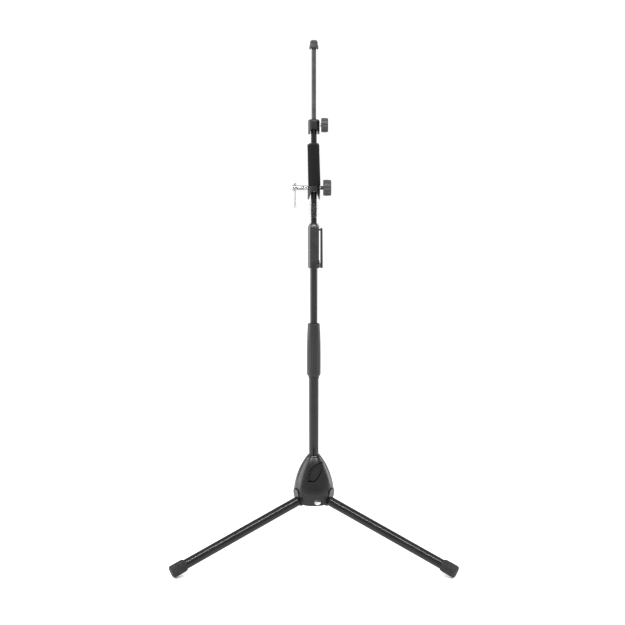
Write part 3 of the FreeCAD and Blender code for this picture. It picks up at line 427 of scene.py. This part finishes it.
class StandSizes(bpy.types.PropertyGroup):
    """Fine sizes that the frame doesn't carry."""
    foam_taper: bpy.props.FloatProperty(
        name="Foam taper", description="How much slimmer the foam is at its top",
        default=0.4 * MM, min=0, subtype="DISTANCE", unit="LENGTH")
    foam_lean: bpy.props.FloatProperty(
        name="Foam lean", description="How far the foam sits off the tube's axis at each end",
        default=1.1 * MM, subtype="DISTANCE", unit="LENGTH")
    foam_cell: bpy.props.FloatProperty(
        name="Foam grain", description="Depth of the foam's uneven skin",
        default=0.12 * MM, min=0, subtype="DISTANCE", unit="LENGTH")
    knob_flutes: bpy.props.IntProperty(
        name="Knob flutes", description="Grooves round each knob", default=8, min=3, max=60)
    knob_flute_depth: bpy.props.FloatProperty(
        name="Knob flute depth", description="Depth of a knob's flutes",
        default=1.5 * MM, min=0, subtype="DISTANCE", unit="LENGTH")
    sleeve_flutes: bpy.props.IntProperty(
        name="Sleeve flutes", description="Flutes round the twist clutch", default=20, min=3, max=80)
    sleeve_flute_depth: bpy.props.FloatProperty(
        name="Sleeve flute depth", description="Depth of the twist clutch's flutes",
        default=0.55 * MM, min=0, subtype="DISTANCE", unit="LENGTH")
    foot_ribs: bpy.props.IntProperty(
        name="Foot ribs", description="Shallow ribs along each rubber foot", default=3, min=0, max=9)


class StandStudio(bpy.types.PropertyGroup):
    """Camera place, tilt and lens."""
    distance: bpy.props.FloatProperty(
        name="Camera distance", description="Camera to the pole's axis",
        default=2.7, min=0.5, subtype="DISTANCE", unit="LENGTH")
    height: bpy.props.FloatProperty(
        name="Camera height", description="Camera over the floor",
        default=0.991, min=0, subtype="DISTANCE", unit="LENGTH")
    aside: bpy.props.FloatProperty(
        name="Camera aside", description="Camera left of the pole's axis",
        default=0.0029, subtype="DISTANCE", unit="LENGTH")
    pitch: bpy.props.FloatProperty(
        name="Camera pitch", description="Camera tilt below the horizon",
        default=math.radians(9.39), subtype="ANGLE", unit="ROTATION")
    lens: bpy.props.FloatProperty(
        name="Lens", description="Focal length in millimetres on a 36 mm sensor", default=71.8, min=10, max=300)


# ---------------------------------------------------------------- operators
class STAND_OT_stage(bpy.types.Operator):
    """Camera, pale floor and soft light from both sides and above"""
    bl_idname = "stand.stage"
    bl_label = "Studio"

    def execute(self, context):
        studio = context.scene.stand_studio
        pole = pole_xy()
        camera = bpy.data.cameras.new("camera")
        camera.lens = studio.lens
        camera.sensor_width = 36
        camera.clip_end = 50
        eye = bpy.data.objects.new("camera", camera)
        eye.location = (pole[0] - studio.aside, pole[1] - studio.distance, studio.height)
        eye.rotation_euler = (math.pi / 2 - studio.pitch, 0, 0)
        context.scene.collection.objects.link(eye)
        context.scene.camera = eye
        context.scene.view_settings.view_transform = "Standard"
        self.floor()
        self.world(context)
        self.lamp("left_box", (-2.2, 0.3, 1.0), (1.4, 2.4), 62)
        self.lamp("right_box", (2.0, 1.0, 1.0), (0.8, 2.4), 36)
        self.lamp("top_strip", (0.0, -1.1, 2.4), (3.4, 0.1), 95)
        return {"FINISHED"}

    def floor(self):
        """Wide pale floor."""
        size = 30.0
        corners = np.array([[-size, -size, 0], [size, -size, 0], [size, size, 0], [-size, size, 0]])
        plane = mesh_piece("floor", corners, np.array([[0, 1, 2, 3]]))
        finish = Finish("pale_floor", 0.9)
        tone = bpy.context.scene.stand_colours.floor
        finish.colour(grey(tone * 0.99), grey(tone * 1.01), finish.noise(3, 2))
        plane.data.materials.append(finish.material)

    def world(self, context):
        """Even white surroundings."""
        world = bpy.data.worlds.new("studio")
        world.use_nodes = True
        context.scene.world = world
        around = world.node_tree.nodes["Background"]
        around.inputs["Color"].default_value = (1, 1, 1, 1)
        around.inputs["Strength"].default_value = 1.08

    def lamp(self, name, place, size, power):
        """Soft box that faces the middle of the pole."""
        light = bpy.data.lights.new(name, "AREA")
        light.shape = "RECTANGLE"
        light.size, light.size_y = size
        light.energy = power
        lamp = bpy.data.objects.new(name, light)
        pole = pole_xy()
        lamp.location = (pole[0] + place[0], pole[1] + place[1], place[2])
        target = Vector((pole[0], pole[1], 0.55))
        lamp.rotation_euler = (target - lamp.location).to_track_quat("-Z", "Y").to_euler()
        bpy.context.scene.collection.objects.link(lamp)


class STAND_OT_tubes(bpy.types.Operator):
    """Finishes of the pole, the legs and the metal clamps"""
    bl_idname = "stand.tubes"
    bl_label = "Tubes"

    def execute(self, context):
        colours = context.scene.stand_colours
        coat_nodes(
            satin_enamel("satin_enamel", colours.tube), "lower_tube", "middle_tube", "clamp_body", "rod_collar"
        )
        coat_nodes(satin_enamel("rod_enamel", colours.rod), "top_rod")
        coat_nodes(gloss_enamel(), "thin_tube", *("leg_" + side for side in LEG_SIDES))
        coat_nodes(bright_chrome(), "clamp_screw", "tommy_bar", "tommy_bar_balls")
        coat_nodes(clear_plastic(), "stop_sleeve")
        return {"FINISHED"}


class STAND_OT_mouldings(bpy.types.Operator):
    """Finishes of the hub, the grips and the leg roots"""
    bl_idname = "stand.mouldings"
    bl_label = "Mouldings"

    def execute(self, context):
        colours = context.scene.stand_colours
        gloss = moulded_gloss("moulded_gloss", colours.hub, 0.25)
        grip = moulded_gloss("grip_gloss", colours.grip, 0.4)
        coat_nodes(gloss, "hub_housing", "release_lever")
        coat_nodes(grip, "grip_body", "grip_cone", "squeeze_lever")
        coat_nodes(gloss, *("knuckle_" + side for side in LEG_SIDES))
        matt = textured_plastic("matt_moulding", colours.clutch)
        coat_nodes(matt, "clutch_seat_ring", "foam_ring")
        return {"FINISHED"}


class STAND_OT_inner(bpy.types.Operator):
    """Finishes of the pieces inside: carrier, pins, screws, bushes, plates and spring"""
    bl_idname = "stand.inner"
    bl_label = "Inner pieces"

    def execute(self, context):
        steel = plated_steel()
        coat_nodes(steel, "hub_bolt", "tube_foot_plug", "leg_pins", "release_lever_pin")
        coat_nodes(satin_enamel("screw_enamel", context.scene.stand_colours.tube), "trunnion_screws")
        coat_nodes(steel, "tilt_plate", "clutch_spring", "clamp_knob_stud", "rod_knob_stud")
        coat_nodes(steel, *("leg_screw_" + side for side in LEG_SIDES))
        nylon = natural_nylon()
        coat_nodes(nylon, "clutch_bushing", "clutch_collet", "middle_tube_guide", "thin_tube_guide", "rod_guide")
        coat_nodes(nylon, "clamp_liner", "clamp_knob_pad", "clamp_screw_pad", "rod_knob_pad")
        coat_nodes(cast_metal(), "hub_carrier")
        return {"FINISHED"}


class STAND_OT_foam(bpy.types.Operator):
    """Foam sleeve with a soft uneven skin"""
    bl_idname = "stand.foam"
    bl_label = "Foam sleeve"

    def execute(self, context):
        sizes = context.scene.stand_sizes
        low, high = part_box("foam_sleeve")
        length = high.z - low.z
        outer = half_width("foam_sleeve")
        inner = half_width("thin_tube")
        top = outer - sizes.foam_taper
        profile = rounded(
            [(inner, 0), (outer, 0), (outer, length * 0.5), (top, length), (inner, length)],
            [0.0012, 0.02, 0.0008],
        )
        profile = resampled(profile, 0.0007)
        rng = np.random.default_rng(FOAM_SEED)
        count = FOAM_WAVES
        turns = rng.integers(4, 60, count)
        rises = rng.uniform(-3200, 3200, count)
        phases = rng.uniform(0, 2 * np.pi, count)

        def ripple(angle, radius, height):
            """Sum of many fine waves of random direction, a broad swell and a slight lean; none on the bore."""
            waves = sum(
                np.cos(turn * angle + rise * height + phase) for turn, rise, phase in zip(turns, rises, phases)
            )
            swell = 0.15 * MM * np.cos(2 * angle + height * 60)
            lean = sizes.foam_lean * (1 - 2 * height / length) * np.cos(angle)
            on_skin = (radius > (inner + outer) / 2).astype(float)
            return on_skin * (waves * sizes.foam_cell / math.sqrt(count) * 0.5 + swell + lean), 0 * waves

        origin = (*pole_xy(), low.z)
        sleeve = turned("foam_grip", profile, FOAM_SEGMENTS, origin, (0, 0, 1), ripple, loop=True)
        fitted(sleeve, "thin_pole", foam_skin(), ["foam_sleeve"])
        return {"FINISHED"}


class STAND_OT_sleeve(bpy.types.Operator):
    """Twist clutch sleeve with soft flutes that fade out toward both ends"""
    bl_idname = "stand.sleeve"
    bl_label = "Twist clutch"

    def execute(self, context):
        sizes = context.scene.stand_sizes
        low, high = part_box("twist_clutch")
        length = high.z - low.z
        full = half_width("twist_clutch")
        slim = full - 2.3 * MM
        bore = half_width("lower_tube") + 0.3 * MM
        neck = half_width("middle_tube") + 0.3 * MM
        lip = 4.5 * MM
        wall = half_width("clutch_bushing") + 0.1 * MM
        profile = rounded(
            [
                (wall, lip), (bore, lip), (bore, 0), (full - 1.6 * MM, 0),
                (full, 0.004), (full - 0.1 * MM, length * 0.55),
                (full - 0.9 * MM, length * 0.8), (slim, length - 0.001), (slim - 0.0014, length),
                (neck + 0.0016, length), (neck + 0.0012, length - 0.004),
                (neck, length - 0.0042), (neck, length - 0.008),
            ],
            [0.0004, 0.0006, 0.002, 0.004, 0.02, 0.02, 0.0008, 0.0006, 0.0004, 0.0003, 0.0003],
        )
        inside = [(slim - 2.6 * MM, length - 0.012), (full - 3 * MM, length * 0.8), (wall, length * 0.66)]
        profile = resampled(np.vstack([profile, inside, profile[:1]]), 0.0015)[:-1]

        def ripple(angle, radius, height):
            """Flutes on the outer wall: depth times a cosine cubed, faded at both ends by smoothsteps."""
            fade = np.clip((height / length - 0.06) / 0.1, 0, 1) * np.clip((0.8 - height / length) / 0.22, 0, 1)
            fade = fade * fade * (3 - 2 * fade)
            hollow = np.abs(np.cos(angle * sizes.sleeve_flutes / 2)) ** 3
            narrowing = 2.3 * MM * np.clip((height / length - 0.55) / 0.45, 0, 1)
            skin = radius > full - 1.2 * MM - narrowing
            return -sizes.sleeve_flute_depth * hollow * fade * skin, 0 * hollow * fade

        origin = (*pole_xy(), low.z)
        sleeve = turned("clutch_sleeve", profile, SLEEVE_SEGMENTS, origin, (0, 0, 1), ripple, loop=True)
        matt = textured_plastic("clutch_moulding", context.scene.stand_colours.clutch, 0.38, 0.55)
        fitted(sleeve, "twist_clutch", matt, ["twist_clutch"])
        return {"FINISHED"}


class STAND_OT_knobs(bpy.types.Operator):
    """Fluted round knobs of the clamp and of the rod collar"""
    bl_idname = "stand.knobs"
    bl_label = "Knobs"

    def execute(self, context):
        plastic = textured_plastic("knob_moulding", context.scene.stand_colours.knob, 0.42, 0.6)
        for node, neck in (("clamp_knob", 4.2 * MM), ("rod_knob", 5.0 * MM)):
            self.knob(context, node, neck, plastic)
        return {"FINISHED"}

    def knob(self, context, node, neck, plastic):
        """One knob, turned about its own level axis; its body has the node's name."""
        sizes = context.scene.stand_sizes
        low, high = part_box(node)
        radius = (high.z - low.z) / 2
        stud_low, stud_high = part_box(node + "_stud")
        stud = (stud_high.z - stud_low.z) / 2
        length = high.x - low.x
        grip = min(length, radius * 0.98) if node == "clamp_knob" else length - 0.8 * MM
        bottom = stud_high.x - low.x + 0.2 * MM
        inner = length - grip
        edge = radius
        profile = rounded(
            [
                (0, bottom), (stud, bottom), (stud, 0), (neck, 0),
                (neck, inner + 0.002), (edge * 0.72, inner + 0.0016),
                (edge * 0.78, inner), (edge - 0.0008, inner), (edge, inner + grip * 0.45), (edge - 0.0009, length),
                (edge * 0.74, length), (edge * 0.66, length - 0.0016), (edge * 0.34, length - 0.0016),
                (edge * 0.3, length - 0.0008), (0, length - 0.0007),
            ],
            [0.0001, 0.0002, 0.0006, 0.0008, 0.001, 0.0008, 0.0016, 0.02, 0.002, 0.0008, 0.0008, 0.0006, 0.0006],
        )
        profile = resampled(profile, 0.0008)

        def ripple(angle, radius, height):
            """Narrow grooves between broad lobes: depth times a high power of a cosine, only on the rim."""
            rim = np.clip((radius - edge * 0.8) / (edge * 0.12), 0, 1)
            rim = rim * rim * (3 - 2 * rim)
            hollow = np.abs(np.cos(angle * sizes.knob_flutes / 2)) ** 14
            return -sizes.knob_flute_depth * hollow * rim, 0 * hollow * rim

        origin = (low.x, *np.array(box_middle(node))[1:])
        piece = turned(node + "_grip", profile, KNOB_SEGMENTS, origin, (1, 0, 0), ripple)
        fitted(piece, node, plastic, [node])


class STAND_OT_feet(bpy.types.Operator):
    """Rubber feet with bulged sides, shallow ribs and a ringed end"""
    bl_idname = "stand.feet"
    bl_label = "Rubber feet"

    def execute(self, context):
        rubber = moulded_rubber("foot_rubber", context.scene.stand_colours.rubber)
        radius = half_width("foot_rear")
        tube = half_width("leg_rear")
        for side in LEG_SIDES:
            self.foot(context, side, radius, tube, rubber)
        return {"FINISHED"}

    def foot(self, context, side, radius, tube, rubber):
        """One foot, turned about its leg's axis."""
        pivot = np.array(joint_named("leg_" + side + "_fold")["pos_m"])
        middle = np.array(box_middle("foot_" + side))
        axis = (middle - pivot) / np.linalg.norm(middle - pivot)
        low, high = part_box("foot_" + side)
        tilt = math.asin(-axis[2])
        length = ((high.z - low.z) - 2 * radius * math.cos(tilt)) / math.sin(tilt)
        start = middle - axis * length / 2
        wall = 0.007
        ribs = context.scene.stand_sizes.foot_ribs
        profile = rounded(
            [
                (0, length - wall), (tube, length - wall), (tube, 0),
                (radius - 0.0012, 0), (radius - 0.0002, length * 0.12),
                (radius, length * 0.5), (radius - 0.0002, length - 0.0016), (radius - 0.0018, length),
                (radius * 0.62, length), (radius * 0.6, length - 0.0008), (radius * 0.5, length - 0.0008),
                (radius * 0.48, length), (0, length),
            ],
            [0.0003, 0.0005, 0.0008, 0.002, 0.006, 0.0014, 0.0008, 0.0003, 0.0003, 0.0003, 0.0003],
        )
        profile = resampled(profile, 0.0009)

        def ripple(angle, radii, height):
            """Shallow grooves round the skirt near the tube: a high power of a sine of the way along."""
            part = np.clip(height / (length * 0.42), 0, 1)
            groove = np.sin(part * math.pi * ribs) ** 8 * (part < 1)
            skin = radii > tube + 0.0015
            return -0.00045 * groove * skin + 0 * angle, 0 * angle + 0 * height

        piece = turned("rubber_foot_" + side, profile, FOOT_SEGMENTS, start, axis, ripple)
        fitted(piece, "leg_" + side, rubber, ["foot_" + side])


class STAND_OT_cap(bpy.types.Operator):
    """Rubber rod cap: dome over a flared ring whose lower edge is arched front and back"""
    bl_idname = "stand.cap"
    bl_label = "Rod cap"

    def execute(self, context):
        low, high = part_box("rod_cap")
        length = high.z - low.z
        ring = half_width("rod_cap")
        rod = half_width("top_rod")
        ring_top = length * 0.41
        dome = ring * 0.85
        profile = rounded(
            [
                (0, length - 0.0066), (rod, length - 0.0066), (rod, 0.004), (rod + 0.0014, 0.0036), (rod + 0.0016, 0),
                (ring, 0), (ring - 0.0001, ring_top * 0.5), (ring - 0.0005, ring_top),
                (dome + 0.0003, ring_top + 0.0009),
                (dome, ring_top + 0.0022), (dome - 0.0003, length - 0.004), (dome - 0.0016, length - 0.001),
                (0.0022, length), (0, length),
            ],
            [0.0003, 0.0004, 0.0004, 0.0006, 0.0006, 0.0014, 0.0012, 0.0008, 0.001, 0.003, 0.002, 0.0015],
        )
        profile = resampled(profile, 0.0005)

        def ripple(angle, radius, height):
            """The lower edge rises by an arch, a smoothstep of the distance from the rod to either side."""
            aside = np.abs(np.cos(angle)) * radius
            near = np.clip((0.0068 - aside) / 0.0026, 0, 1)
            arch = 0.0038 * near * near * (3 - 2 * near)
            share = np.clip(1 - height / (ring_top * 0.9), 0, 1)
            return 0 * angle * height, arch * share

        piece = turned("rubber_cap", profile, CAP_SEGMENTS, (*pole_xy(), low.z), (0, 0, 1), ripple)
        rubber = moulded_rubber("cap_rubber", 0.026)
        fitted(piece, "rod", rubber, ["rod_cap"])
        return {"FINISHED"}


CLASSES = (
    StandColours, StandSizes, StandStudio, STAND_OT_stage, STAND_OT_tubes, STAND_OT_mouldings, STAND_OT_inner,
    STAND_OT_foam, STAND_OT_sleeve, STAND_OT_knobs, STAND_OT_feet, STAND_OT_cap,
)
OPERATORS = [one for one in CLASSES if issubclass(one, bpy.types.Operator)]


class STAND_PT_panel(bpy.types.Panel):
    """Sidebar panel that lists the stand's operators and settings"""
    bl_label = "Instrument Stand"
    bl_idname = "STAND_PT_panel"
    bl_space_type = "VIEW_3D"
    bl_region_type = "UI"
    bl_category = "Stand"

    def draw(self, context):
        for group in (context.scene.stand_colours, context.scene.stand_sizes, context.scene.stand_studio):
            for name in group.__annotations__:
                self.layout.prop(group, name)
        for operator in OPERATORS:
            self.layout.operator(operator.bl_idname)


def register():
    """Registers the settings, operators and panel."""
    for one in (*CLASSES, STAND_PT_panel):
        bpy.utils.register_class(one)
    bpy.types.Scene.stand_colours = bpy.props.PointerProperty(type=StandColours)
    bpy.types.Scene.stand_sizes = bpy.props.PointerProperty(type=StandSizes)
    bpy.types.Scene.stand_studio = bpy.props.PointerProperty(type=StandStudio)


def unregister():
    """Takes them away again."""
    del bpy.types.Scene.stand_colours
    del bpy.types.Scene.stand_sizes
    del bpy.types.Scene.stand_studio
    for one in reversed((*CLASSES, STAND_PT_panel)):
        bpy.utils.unregister_class(one)


def main():
    """Registers the add-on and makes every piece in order."""
    register()
    for operator in OPERATORS:
        group, name = operator.bl_idname.split(".")
        getattr(getattr(bpy.ops, group), name)()


if __name__ == "__main__":
    main()
